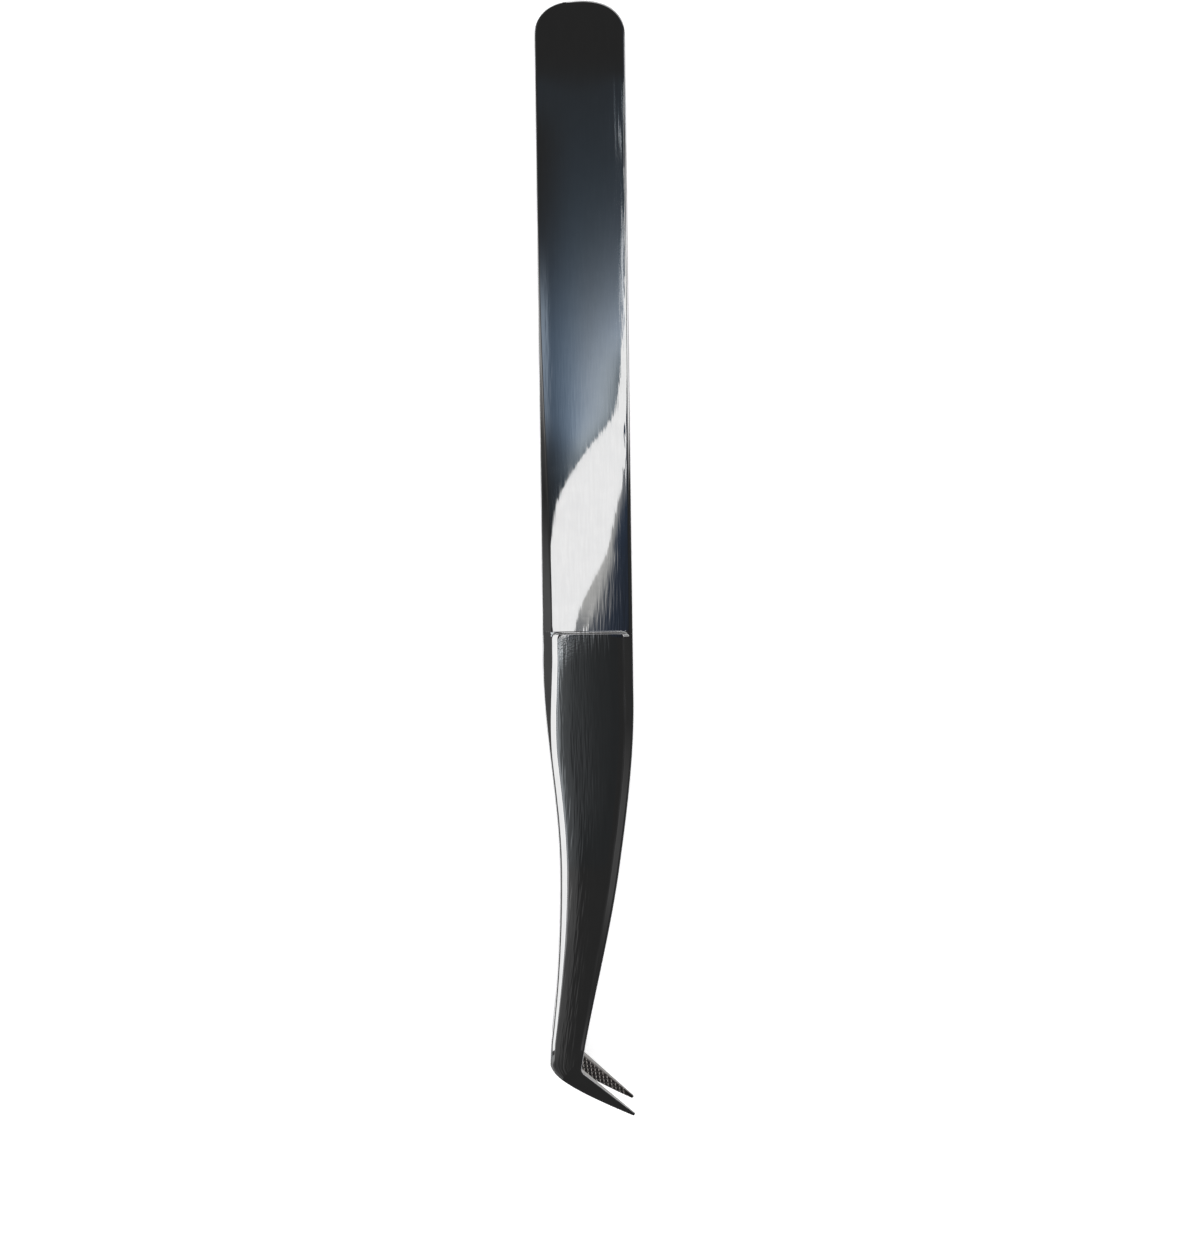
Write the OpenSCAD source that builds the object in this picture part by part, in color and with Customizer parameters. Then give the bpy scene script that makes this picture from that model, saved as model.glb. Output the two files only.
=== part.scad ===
// Boot-tip tweezers: two ground steel arms welded to a wedge at the tail.
// The part lies on the outer face of its lower arm. X is across the arms, the tail is at +Y,
// the tips are at -Y and turn towards +X, and the arms close along Z.

/* [Overall] */
// Length from the tail end to the point of the tips
overall_len = 124; // [116:1:132]
// Width of each arm
arm_w = 10; // [9:0.1:11]
// Thickness of the steel at the tail and at the grip
blank_t = 1.8; // [1.5:0.05:2.2]

/* [Tail] */
// Depth of the rounded tail end
tail_cap = 4; // [3:0.25:5]
// Length of the wedge between the arms
wedge_len = 14; // [12:0.5:18]
// Thickness of the wedge at its thin end
wedge_t = 0.6; // [0.4:0.1:1.2]
// Angle between the two faces of the wedge
wedge_deg = 4.4; // [3.6:0.1:5.2]
// Diameter of each weld nugget
weld_d = 3; // [2:0.25:4]
// Distance between the weld nuggets
weld_pitch = 5; // [4.5:0.25:6]
// Depth that each nugget reaches into an arm
weld_depth = 0.4; // [0.2:0.05:0.6]

/* [Handle] */
// Distance from the tail end to the start of the hollow grind
hollow_start = 8; // [6:0.5:12]
// Greatest depth of the hollow grind
hollow_depth = 0.7; // [0.55:0.05:0.8]
// How far the handle's edges drop below its middle
crown = 0.12; // [0:0.02:0.2]
// Width of the left edge bevel at its widest
bevel_left = 1.05; // [0.6:0.05:1.2]
// Width of the right edge bevel at its widest
bevel_right = 0.35; // [0.3:0.05:1.1]

/* [Grip] */
// Distance from the tip to the step that starts the grip
step_back = 54.6; // [52:0.2:58]
// Height of the step
step_h = 0.4; // [0.25:0.05:0.5]
// Length of the step's slope
step_run = 0.3; // [0.2:0.1:0.6]
// Width of the slope along each side of the grip
flank_w = 0.7; // [0.4:0.05:0.8]
// Width of that slope at the ankle
ankle_flank_w = 0.3; // [0.2:0.05:0.35]
// Radius of the grip's two corners at the step
grip_corner_r = 0.8; // [0.4:0.1:1.5]
// Distance from the tip to the end of the flat grip
grip_back = 29; // [26:0.5:32]

/* [Neck] */
// Distance from the tip to where the left edge starts to come in
narrow_left_back = 51; // [48:0.5:52]
// Distance from the tip to where the right edge starts to come in
narrow_right_back = 47; // [44:0.5:50]
// Distance from the tip to the neck
neck_back = 28.5; // [25:0.5:32]
// Width of the neck
neck_w = 6.6; // [5.5:0.1:7.5]
// Distance from the tip to the ankle
ankle_back = 8.5; // [8:0.1:10]
// Width of the ankle
ankle_w = 3.9; // [3.4:0.1:4.4]
// Thickness of the ankle
ankle_t = 1.7; // [1.3:0.05:2]

/* [Tip] */
// Distance from the centre line to the heel
heel_x = 4.9; // [4.5:0.05:4.95]
// Distance from the tip back to the heel
heel_back = 4.4; // [4.2:0.1:5.2]
// Distance from the tip back to the inside corner
corner_back = 5.4; // [4.8:0.1:5.8]
// Distance from the centre line to the point
tip_x = 4.5; // [3.6:0.1:4.9]
// Width of the point
point_w = 0.3; // [0.2:0.05:0.5]
// Thickness of the point
point_t = 0.35; // [0.25:0.05:0.6]
// Gap between the open points
tip_gap = 5.2; // [4.6:0.1:6]
// Distance between the grooves of the hatch on the tip's inner face
hatch_pitch = 0.65; // [0.4:0.05:0.8]
// Depth of the grooves
hatch_depth = 0.06; // [0.04:0.01:0.1]
// Angle between the grooves and the tip
hatch_deg = 40; // [30:1:50]

/* [Hidden] */
$fn = 64;

// Gap along each welded face, and round and above each nugget
seat_gap = 0.02;
weld_gap = 0.05;
// Gap left between the points when the arms are closed
closed_gap = 0.04;
// Edge break along the inner faces and along the plain outer edges
edge_break = 0.1;
plain_bevel = 0.2;
// Distance from the wedge to the line that each arm bends about
bend_ahead = 4;
// Inset of the wedge inside the arms' outline
wedge_inset = 0.2;
// Exponent of the tail's rounded end
cap_power = 2.35;
// Distance from the tail end to the first nugget
weld_start = 4.5;
// Distance from the tail end to where the edge bevels start to widen
bevel_start = 27;
// Distance from the step to where the bevels are plain again, and the length of that taper
bevel_run = 14.6;
bevel_taper = 12;
// Rise of the edge bevels over their width
bevel_rise = 0.36;
// Distance from the tip to where the inner face starts to bend in
inner_bend_back = 36;
// Distance before the inside corner at which the tip starts to thin
taper_ahead = 1;
// Sideways offset of the neck, and how far the ankle's edges stand in from the heel and the corner
neck_x = -0.1;
ankle_in = 0.2;
corner_in_x = 0.55;
// Straight lengths that the rounding of the heel and of the inside corner takes up
heel_before = 2;
corner_before = 0.5;
corner_after = 0.4;
// Plain length at the point, and length of each groove
hatch_end = 1;
hatch_reach = 7;
// Slopes of the edges at the neck and at the ankle
neck_slope = -0.15;
ankle_slope_left = -0.13;
ankle_slope_right = -0.2;

// Distances along the arm, measured from the tail end
step_s = overall_len - step_back;
grip_s = overall_len - grip_back;
narrow_left_s = overall_len - narrow_left_back;
narrow_right_s = overall_len - narrow_right_back;
neck_s = overall_len - neck_back;
ankle_s = overall_len - ankle_back;
heel_s = overall_len - heel_back;
corner_s = overall_len - corner_back;

// The middle plane starts where the wedge's faces meet and rises at half the wedge's angle
half_deg = wedge_deg / 2;
wedge_z = blank_t + seat_gap;
apex_s = -wedge_t / tan(wedge_deg);
function mid_z(s) = wedge_z + (s - apex_s) * tan(half_deg);

// Each arm bends about a line across it, just ahead of the wedge, at half its thickness
bend_s = wedge_len + bend_ahead;
bend_z = blank_t / 2;
close_deg = atan((tip_gap - closed_gap) / 2 / (overall_len - bend_s));

// Inner face of the tip: the middle plane turned open about the bend line by the closing angle
function tip_slope() = tan(half_deg - close_deg);
function tip_z(s) =
    let (run = -bend_s, rise = mid_z(0) - closed_gap / 2 - bend_z)
    let (turned_s = bend_s + run * cos(close_deg) + rise * sin(close_deg))
    let (turned_z = bend_z + rise * cos(close_deg) - run * sin(close_deg))
    turned_z + (s - turned_s) * tip_slope();

// Smooth step from 0 to 1
function ease(t) = let (u = min(1, max(0, t))) u * u * (3 - 2 * u);

// Cubic between two stations, each [distance, value, slope]
function span(a, b, s) =
    let (d = b[0] - a[0], t = (s - a[0]) / d)
    (1 - ease(t)) * a[1] + ease(t) * b[1]
    + d * t * (1 - t) * ((1 - t) * a[2] - t * b[2]);

// Chain of such cubics, flat before the first station and straight after the last
function chain(rows, s, i = 0) =
    let (last = len(rows) - 1)
    s <= rows[0][0] ? rows[0][1]
    : i == last ? rows[last][1] + (s - rows[last][0]) * rows[last][2]
    : s <= rows[i + 1][0] ? span(rows[i], rows[i + 1], s)
    : chain(rows, s, i + 1);

// Plan of the arm: its left and right edges as distances from the centre line
ankle_left = ankle_in - heel_x;
left_rows = [
    [narrow_left_s, -arm_w / 2, 0],
    [neck_s, neck_x - neck_w / 2, 0],
    [ankle_s, ankle_left, ankle_slope_left],
];
right_rows = [
    [narrow_right_s, arm_w / 2, 0],
    [neck_s, neck_x + neck_w / 2, neck_slope],
    [ankle_s, ankle_left + ankle_w, ankle_slope_right],
];
function cap_share(s) = s >= tail_cap ? 1 : pow(1 - pow(1 - s / tail_cap, cap_power), 1 / cap_power);
function left_x(s) = cap_share(s) * chain(left_rows, s);
function right_x(s) = cap_share(s) * chain(right_rows, s);

// Boot in plan: the outer edge is one bow from above the heel to the point
// The inner edge runs straight, rounds the inside corner and runs straight to the point
heel = [-heel_x, heel_s];
corner = [ankle_left + ankle_w - corner_in_x, corner_s];
left_end = [tip_x, overall_len];
tip_dir = (left_end - corner) / norm(left_end - corner);
right_end = left_end + point_w * [tip_dir[1], -tip_dir[0]];
ankle_l = [left_x(ankle_s), ankle_s];
ankle_r = [right_x(ankle_s), ankle_s];
function towards(a, b, d) = a + (b - a) * d / norm(b - a);
function bow(a, b, c, t) = a * (1 - t) * (1 - t) + b * 2 * t * (1 - t) + c * t * t;
heel_from = towards(heel, ankle_l, heel_before);
corner_from = towards(corner, ankle_r, corner_before);
corner_to = towards(corner, right_end, corner_after);
function outer_edge(t) = bow(heel_from, heel, left_end, t);

// Along the tip each point of the outer edge is paired with the one square across from it
turn_t = 0.5;
tip_len = norm(left_end - corner);
function along_tip(p) = (p - corner) * tip_dir;
function inner_edge(p) =
    let (first = along_tip(outer_edge(turn_t)))
    corner_to + (right_end - corner_to) * (along_tip(p) - first) / (tip_len - first);

// Stations: pairs of plan points, one on each edge, from the tail end to the point
cap_n = 12;
handle_n = 24;
step_n = 8;
grip_n = 44;
heel_n = 4;
boot_n = 12;
tip_n = 10;
cap_first = 0.02;
cap_at = [for (i = [0 : cap_n]) max(cap_first, tail_cap * (1 - cos(90 * i / cap_n)))];
step_end = step_s + max(step_run, grip_corner_r);
straight_at = [
    for (i = [1 : handle_n]) tail_cap + (step_s - tail_cap) * i / handle_n,
    for (i = [1 : step_n]) step_s + (step_end - step_s) * pow(i / step_n, 2),
    for (i = [1 : grip_n]) step_end + (ankle_s - step_end) * i / grip_n,
];
stations = [
    for (s = concat(cap_at, straight_at)) [[left_x(s), s], [right_x(s), s]],
    for (i = [1 : heel_n])
        let (t = i / (heel_n + 1))
        [ankle_l + (heel_from - ankle_l) * t, ankle_r + (corner_from - ankle_r) * t],
    for (i = [0 : boot_n])
        [outer_edge(turn_t * i / boot_n), bow(corner_from, corner, corner_to, i / boot_n)],
    for (i = [1 : tip_n])
        let (p = outer_edge(turn_t + (1 - turn_t) * i / tip_n))
        [p, inner_edge(p)],
];

// Inner face: flat, then bent in to meet the tip's plane at the ankle
inner_rows = [
    [overall_len - inner_bend_back, blank_t, 0],
    [ankle_s, tip_z(ankle_s), tip_slope()],
];
function inner_z(p) = chain(inner_rows, p[1]);

// Thickness of the boot, which thins evenly along the tip to the point
function boot_t(p) =
    let (u = min(1, max(0, (along_tip(p) + taper_ahead) / (tip_len + taper_ahead))))
    ankle_t + (point_t - ankle_t) * u;

// Outer face of the grip: flat, then bent in with the inner face
outer_rows = [
    [grip_s, 0, 0],
    [ankle_s, tip_z(ankle_s) - ankle_t, tip_slope()],
];
function grip_z(p) = p[1] < ankle_s ? chain(outer_rows, p[1]) : inner_z(p) - boot_t(p);

// Hollow grind of the handle
deep_share = sqrt(1 - step_h / hollow_depth);
deep_s = (step_s + deep_share * hollow_start) / (1 + deep_share);
step_slope = -2 * (hollow_depth - step_h) / (step_s - deep_s);
hollow_rows = [
    [hollow_start, 0, 0],
    [deep_s, hollow_depth, 0],
    [step_s, step_h, step_slope],
];

// The tail end is flat, and the crown grows where the hollow starts
function crown_share(s) = ease((s - hollow_start) / hollow_start);

// The hollow carries on as a ledge beside the grip, which runs out at the heel
flank_rows = [
    [neck_s, flank_w, 0],
    [ankle_s, ankle_flank_w, 0],
];
ledge_rows = [
    [neck_s, step_h, 0],
    [ankle_s, step_h * ankle_flank_w / flank_w, 0],
    [heel_s - heel_before, 0, 0],
];
function ledge_h(p) = chain(p[1] < step_s ? hollow_rows : ledge_rows, p[1]);
function grip_share(s) = min(1, max(0, (s - step_s) / step_run));
function grip_corner(s) =
    let (u = min(1, max(0, (s - step_s) / grip_corner_r)))
    grip_corner_r * (1 - sqrt(1 - (1 - u) * (1 - u)));

// Width of an edge bevel: widest beside the step, plain towards both ends
bevel_limit = 1 / 6;
function bevel_w(widest, s, w) =
    let (grow = ease((s - bevel_start) / (step_s - bevel_start)))
    let (fade = ease((step_s + bevel_run - s) / bevel_taper))
    min(plain_bevel + (widest - plain_bevel) * grow * fade, w * bevel_limit);

// One ring of the arm: across the outer face from left to right, back across the inner face
// Bevels, flanks and edge breaks shrink with the arm's width and thickness
middle_n = 6;
flank_limit = 0.12;
break_limit = 0.06;
drop_limit = 1 / 3;
function ring(left, right) =
    let (w = norm(right - left), s = min(left[1], right[1]))
    let (bl = bevel_w(bevel_left, s, w), br = bevel_w(bevel_right, s, w))
    let (flank = min(chain(flank_rows, s), flank_limit * w) + (s < step_s ? 0 : grip_corner(s)))
    let (inset = min(edge_break, break_limit * w))
    let (from = bl + flank, to = w - br - flank)
    let (share = grip_share(s))
    let (across = [0, bl, for (i = [0 : middle_n]) from + (to - from) * i / middle_n, w - br, w])
    let (outer = [
        for (i = [0 : len(across) - 1])
            let (e = across[i], p = left + (right - left) * e / w)
            let (raised = e < from || e > to ? 0 : share)
            let (sag = crown * pow((2 * e - w) / arm_w, 2) * crown_share(s))
            let (drop = e <= 0 ? bl * bevel_rise : e >= w ? br * bevel_rise : 0)
            let (depth = (ledge_h(p) + sag) * (1 - raised) + min(drop, drop_limit * boot_t(p)))
            [p[0], p[1], grip_z(p) + depth]
    ])
    let (inner = [
        for (e = [w, w - inset, inset, 0])
            let (p = left + (right - left) * e / w)
            let (depth = e == 0 || e == w ? min(inset, drop_limit * boot_t(p)) : 0)
            [p[0], p[1], inner_z(p) - depth]
    ])
    [for (q = concat(outer, inner)) [q[0], overall_y(q[1]), q[2]]];

// The tail end lies half the length ahead of the origin, less half the upper arm's lean
lean = mid_z(0) * sin(wedge_deg);
function overall_y(s) = (overall_len - lean) / 2 - s;

module arm_blank() {
    rings = [for (st = stations) ring(st[0], st[1])];
    n = len(rings[0]);
    m = len(rings);
    points = [for (r = rings) each r];
    sides = [
        for (i = [0 : m - 2], j = [0 : n - 1])
            let (k = (j + 1) % n)
            each [
                [i * n + j, i * n + k, (i + 1) * n + k],
                [i * n + j, (i + 1) * n + k, (i + 1) * n + j],
            ]
    ];
    ends = [
        [for (j = [n - 1 : -1 : 0]) j],
        [for (j = [0 : n - 1]) (m - 1) * n + j],
    ];
    polyhedron(points, concat(sides, ends));
}

// Weld nuggets stand square to the middle plane
module nuggets(d, h) {
    for (i = [0, 1])
        let (s = weld_start + i * weld_pitch)
        translate([0, overall_y(s), mid_z(s)])
            rotate([-half_deg, 0, 0])
                cylinder(d = d, h = h, center = true);
}
nugget_h = wedge_t + 2 * seat_gap + 2 * weld_depth + 2 * (weld_start + weld_pitch / 2) * tan(half_deg);

// Mirrors a shape in the middle plane
module other_arm() {
    translate([0, overall_y(0), mid_z(0)])
        mirror([0, sin(half_deg), cos(half_deg)])
            translate([0, -overall_y(0), -mid_z(0)])
                children();
}

// Cross-hatch on the tip's inner face: two sets of V grooves
hatch_n = floor((tip_len - hatch_end) / hatch_pitch);
module hatch() {
    for (i = [0 : hatch_n], turn = [-hatch_deg, hatch_deg])
        let (p = corner + tip_dir * (i * hatch_pitch))
        translate([p[0], overall_y(p[1]), tip_z(p[1])])
            rotate([-atan(tip_slope()), 0, atan2(-tip_dir[1], tip_dir[0]) + turn])
                rotate([0, 90, 0])
                    cylinder(r = hatch_depth, h = hatch_reach, center = true, $fn = 4);
}

module arm() {
    difference() {
        arm_blank();
        nuggets(weld_d + 2 * weld_gap, nugget_h + 2 * weld_gap);
        hatch();
    }
}

module lower_arm() {
    color([0.16, 0.16, 0.17]) arm();
}

module upper_arm() {
    color([0.18, 0.18, 0.2]) other_arm() arm();
}

// Side view of the wedge, drawn with the length across and the height up
module wedge_side() {
    polygon([
        [0, wedge_z],
        [wedge_len, wedge_z],
        [wedge_len, wedge_z + (wedge_len - apex_s) * tan(wedge_deg)],
        [0, wedge_z + wedge_t],
    ]);
}

module wedge_plan() {
    half = arm_w / 2 - wedge_inset;
    left = [for (s = cap_at) [-half * cap_share(s), -wedge_inset - s]];
    right = [for (i = [cap_n : -1 : 0]) [-left[i][0], left[i][1]]];
    polygon(concat(left, [[-half, -wedge_len], [half, -wedge_len]], right));
}

module tail_wedge() {
    color([0.3, 0.3, 0.32])
        difference() {
            intersection() {
                translate([0, overall_y(0), 0])
                    linear_extrude(blank_t + 2 * mid_z(wedge_len)) wedge_plan();
                translate([-arm_w, overall_y(0), 0])
                    rotate([90, 0, 90])
                        mirror([1, 0, 0])
                            linear_extrude(2 * arm_w) wedge_side();
            }
            nuggets(weld_d + 2 * weld_gap, 4 * nugget_h);
        }
}

module spot_welds() {
    color([0.5, 0.5, 0.52]) nuggets(weld_d, nugget_h);
}

upper_arm();
lower_arm();
tail_wedge();
spot_welds();
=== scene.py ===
# Boot-tip tweezers in black polished steel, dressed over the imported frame
import math
from types import SimpleNamespace

import bmesh
import bpy
import numpy as np
from mathutils import Matrix, Vector


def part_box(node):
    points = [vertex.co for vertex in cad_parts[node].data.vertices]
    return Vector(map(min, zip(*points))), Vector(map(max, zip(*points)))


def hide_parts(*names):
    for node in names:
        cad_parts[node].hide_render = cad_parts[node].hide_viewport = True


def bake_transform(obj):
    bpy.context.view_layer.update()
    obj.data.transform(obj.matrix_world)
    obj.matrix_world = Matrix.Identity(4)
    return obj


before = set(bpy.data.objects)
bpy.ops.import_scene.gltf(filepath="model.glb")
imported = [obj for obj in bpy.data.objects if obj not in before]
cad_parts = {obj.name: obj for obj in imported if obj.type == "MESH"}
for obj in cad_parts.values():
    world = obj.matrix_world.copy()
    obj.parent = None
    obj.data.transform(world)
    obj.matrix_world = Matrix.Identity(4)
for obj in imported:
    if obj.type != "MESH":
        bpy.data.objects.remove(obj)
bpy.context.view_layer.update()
mm = 0.001
tiny = 1e-9  # keeps a length that may be nothing from dividing by zero
scene = bpy.context.scene
print("frame loaded:", ", ".join(sorted(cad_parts)))

# Sizes of one arm in millimetres: x is across it, s runs from the tail end to the point
armForm = {
    "length": 124, "width": 10, "thick": 1.8,
    "capDepth": 4, "capPower": 2.35, "capSpine": 3,  # rounded tail end
    "hollowStart": 8, "hollowDepth": 0.7, "crown": 0.12,  # hollow-ground handle
    "stepBack": 54.6, "stepHeight": 0.4, "stepRun": 0.3,  # step up to the grip
    "flank": 0.7, "ankleFlank": 0.3, "gripCorner": 0.8, "gripBack": 29, "shoulder": 1.6, "shoulderDrop": 0.05,
    "narrowLeftBack": 51, "narrowRightBack": 47,
    "neckBack": 28.5, "neckWidth": 6.6, "neckX": -0.1, "neckSlope": -0.15,
    "ankleBack": 8.5, "ankleWidth": 3.9, "ankleThick": 1.7, "ankleIn": 0.2,
    "ankleSlopeLeft": -0.13, "ankleSlopeRight": -0.2,
    "heelX": 4.9, "heelBack": 4.4, "heelBefore": 2, "turnT": 0.5,
    "cornerBack": 5.4, "cornerIn": 0.55, "cornerBefore": 0.5, "cornerAfter": 0.4,
    "pointX": 4.5, "pointWidth": 0.3, "pointThick": 0.35, "taperAhead": 1,
    "innerBendBack": 36, "pointGap": 5.2, "closedGap": 0.04,
    "wedgeLength": 14, "wedgeThick": 0.6, "wedgeAngle": 4.4, "seatGap": 0.02, "bendAhead": 4,
}
# Edges of one arm: bevels beside the handle and grip, broken inner edges, and their rounding
edgeForm = {
    "bevelLeft": 1.05, "bevelRight": 0.35, "bevelPlain": 0.2, "bevelRise": 0.36,
    "bevelStart": 27, "bevelRun": 14.6, "bevelTaper": 12, "bevelShare": 1 / 6,
    "flankShare": 0.12, "innerBreak": 0.1, "breakShare": 0.06, "dropShare": 1 / 3,
    "wallRound": 0.09, "breakRound": 0.05, "bevelRound": 0.07, "flankRound": 0.12, "pointRound": 0.1,
    "stepFoot": 0.7, "stepHead": 0.06,  # shares of the step's run
    "cutShare": 0.45, "breakCutShare": 0.3,  # the most of a side that rounding takes
}
# Bare metal shows within these distances of the grip's crest and of the rim
wearForm = {"crest": 0.09, "rim": 0.12}
# Cross-hatch of V grooves on the inner face of the tip
hatchForm = {"pitch": 0.65, "depth": 0.06, "half": 0.085, "angle": 40, "reach": 7, "plainEnd": 1}
# Deeper brush lines: their reach from the step along the handle and the grip, the leaning edge of their patch
# on the handle, and their share on the grip's shoulder, along the handle's edges and in its hollow
scuffForm = {"handle": 6, "handleShare": 0.8, "patchX": -1, "patchLean": 0.42, "patchRun": 1.2,
             "grip": 1.5, "shoulder": 1, "edge": 0.3, "edgeReach": 0.7,
             "hollow": 0.12, "hollowS": 43, "hollowReach": 5}
# Rubbed lines along the handle's right edge, whose lighter, bluish colour is also a painted highlight of
# hairlines there: (distance, share), and their reach in from the edge
rubAndSheenForm = {
    "rows": [(8, 0), (9.5, 1), (14.5, 1), (18, 0.12), (22.5, 0.12), (25, 0.35), (33, 0.35), (40, 0)],
    "reach": 1.1,
}
# Darker, matt colour on the hatched inner face of the tip: it fades in over a run from a little ahead of the
# corner
matteForm = {"ahead": 1, "run": 1}
# Fine pitting at the grip's first left corner: its reach along and across
pitForm = {"along": 1.6, "across": 1.3}
# Rows along the arm and columns round it
gridCounts = {
    "cap": 30, "handle": 84, "step": 72, "grip": 72, "ankle": 8, "boot": 64, "tip": 190, "point": 5,
    "inner": 28, "arc": 5, "bevel": 5, "flank": 14, "face": 20,
}
arm = SimpleNamespace(**armForm)
edge = SimpleNamespace(**edgeForm)
grid = SimpleNamespace(**gridCounts)

stepS = arm.length - arm.stepBack
ankleS = arm.length - arm.ankleBack
heelS = arm.length - arm.heelBack
neckS = arm.length - arm.neckBack
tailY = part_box("lower_arm")[0][1] / mm + arm.length

# The middle plane rises from where the wedge's two faces meet, at half the wedge's angle
halfAngle = math.radians(arm.wedgeAngle / 2)
midZ = arm.thick + arm.seatGap + arm.wedgeThick / math.tan(2 * halfAngle) * math.tan(halfAngle)
midNormal = np.array([0, math.sin(halfAngle), math.cos(halfAngle)])
midPoint = np.array([0, tailY, midZ])

# The tip's inner face is the middle plane turned open about the bend line by the closing angle
bendS = arm.wedgeLength + arm.bendAhead
closeAngle = math.atan((arm.pointGap - arm.closedGap) / 2 / (arm.length - bendS))
tipSlope = math.tan(halfAngle - closeAngle)
midRise = midZ - arm.closedGap / 2 - arm.thick / 2
turnedS = bendS - bendS * math.cos(closeAngle) + midRise * math.sin(closeAngle)
turnedZ = arm.thick / 2 + midRise * math.cos(closeAngle) + bendS * math.sin(closeAngle)


def tipZ(s):
    # height of the tip's inner face: a straight slope along the arm
    return turnedZ + (s - turnedS) * tipSlope


def ease(t):
    # smooth step: 3 t squared less 2 t cubed
    u = np.clip(t, 0, 1)
    return u * u * (3 - 2 * u)


def chain(rows, s):
    # cubics through (distance, value, slope), flat before the first and straight after the last
    s = np.asarray(s, float)
    first, last = rows[0], rows[-1]
    out = np.where(s <= first[0], first[1], last[1] + (s - last[0]) * last[2])
    for a, b in zip(rows, rows[1:]):
        d = b[0] - a[0]
        t = (s - a[0]) / d
        cubic = (1 - ease(t)) * a[1] + ease(t) * b[1] + d * t * (1 - t) * ((1 - t) * a[2] - t * b[2])
        out = np.where((s > a[0]) & (s <= b[0]), cubic, out)
    return out


def roundRamp(t, foot, head):
    # straight ramp from 0 to 1 with both ends rounded: the integral of a trapezium
    u = np.clip(t, 0, 1)
    k = 1 / (1 - foot / 2 - head / 2)
    low = k * u * u / (2 * foot)
    high = 1 - k * (1 - u) ** 2 / (2 * head)
    return np.where(u < foot, low, np.where(u > 1 - head, high, k * (u - foot / 2)))


def bow(a, b, c, t):
    # quadratic curve from a to c, pulled towards b
    t = np.asarray(t)[..., None]
    return a * (1 - t) ** 2 + b * 2 * t * (1 - t) + c * t * t


def pointOn(a, b, d):
    # point at distance d from a on the way to b
    return a + (b - a) * d / np.linalg.norm(b - a)


def towards(a, b, d):
    # point at distance d from a on the way to b, at most a share of the way
    run = b - a
    length = np.linalg.norm(run, axis=-1, keepdims=True)
    return a + run * np.minimum(d / np.maximum(length, tiny), edge.cutShare)


# Plan of the arm: left and right edges, then the boot's heel, inside corner and point
ankleLeft = arm.ankleIn - arm.heelX
leftRows = [
    (arm.length - arm.narrowLeftBack, -arm.width / 2, 0),
    (neckS, arm.neckX - arm.neckWidth / 2, 0),
    (ankleS, ankleLeft, arm.ankleSlopeLeft),
]
rightRows = [
    (arm.length - arm.narrowRightBack, arm.width / 2, 0),
    (neckS, arm.neckX + arm.neckWidth / 2, arm.neckSlope),
    (ankleS, ankleLeft + arm.ankleWidth, arm.ankleSlopeRight),
]
heel = np.array([-arm.heelX, heelS])
corner = np.array([ankleLeft + arm.ankleWidth - arm.cornerIn, arm.length - arm.cornerBack])
leftEnd = np.array([arm.pointX, arm.length])
tipLength = np.linalg.norm(leftEnd - corner)
tipDir = (leftEnd - corner) / tipLength
rightEnd = leftEnd + arm.pointWidth * np.array([tipDir[1], -tipDir[0]])


def straightPair(s):
    # edge points at the same distance s: the tail end is a superellipse of that width
    share = np.clip(1 - s / arm.capDepth, 0, 1) ** arm.capPower
    share = (1 - share) ** (1 / arm.capPower)
    return np.stack([share * chain(leftRows, s), s], 1), np.stack([share * chain(rightRows, s), s], 1)


def planStations():
    # left edge, right edge and spine of every row, from the tail end to the point
    capS = arm.capDepth * (1 - np.cos(np.linspace(0, math.pi / 2, grid.cap + 1)))
    stepFrom, stepTo = stepS - arm.gripCorner, stepS + 2 * arm.gripCorner
    straightS = np.concatenate([
        capS,
        np.linspace(arm.capDepth, stepFrom, grid.handle + 1)[1:],
        np.linspace(stepFrom, stepTo, grid.step + 1)[1:],
        np.linspace(stepTo, ankleS, grid.grip + 1)[1:],
    ])
    left, right = straightPair(straightS)
    heelFrom = pointOn(heel, left[-1], arm.heelBefore)
    cornerFrom = pointOn(corner, right[-1], arm.cornerBefore)
    cornerTo = pointOn(corner, rightEnd, arm.cornerAfter)
    ankleT = np.linspace(0, 1, grid.ankle + 1)[1:-1, None]
    bootT = np.linspace(0, 1, grid.boot + 1)
    lastT = 1 - edge.pointRound / (2 * np.linalg.norm(leftEnd - heel))
    tipT = np.linspace(arm.turnT, lastT, grid.tip + 1)[1:]
    # along the tip each point of the outer edge is paired with the one square across from it
    boot = bow(heelFrom, heel, leftEnd, arm.turnT * bootT)
    tip = bow(heelFrom, heel, leftEnd, tipT)
    first = (boot[-1] - corner) @ tipDir
    share = ((tip - corner) @ tipDir - first) / (tipLength - first)
    left = np.concatenate([left, left[-1] + (heelFrom - left[-1]) * ankleT, boot, tip])
    right = np.concatenate([
        right, right[-1] + (cornerFrom - right[-1]) * ankleT,
        bow(cornerFrom, corner, cornerTo, bootT), cornerTo + (rightEnd - cornerTo) * share[:, None],
    ])
    spine = (left + right) / 2
    capRows = np.arange(len(capS))
    spine[capRows, 1] = arm.capSpine + capS * (1 - arm.capSpine / arm.capDepth)
    return left, right, spine


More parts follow.
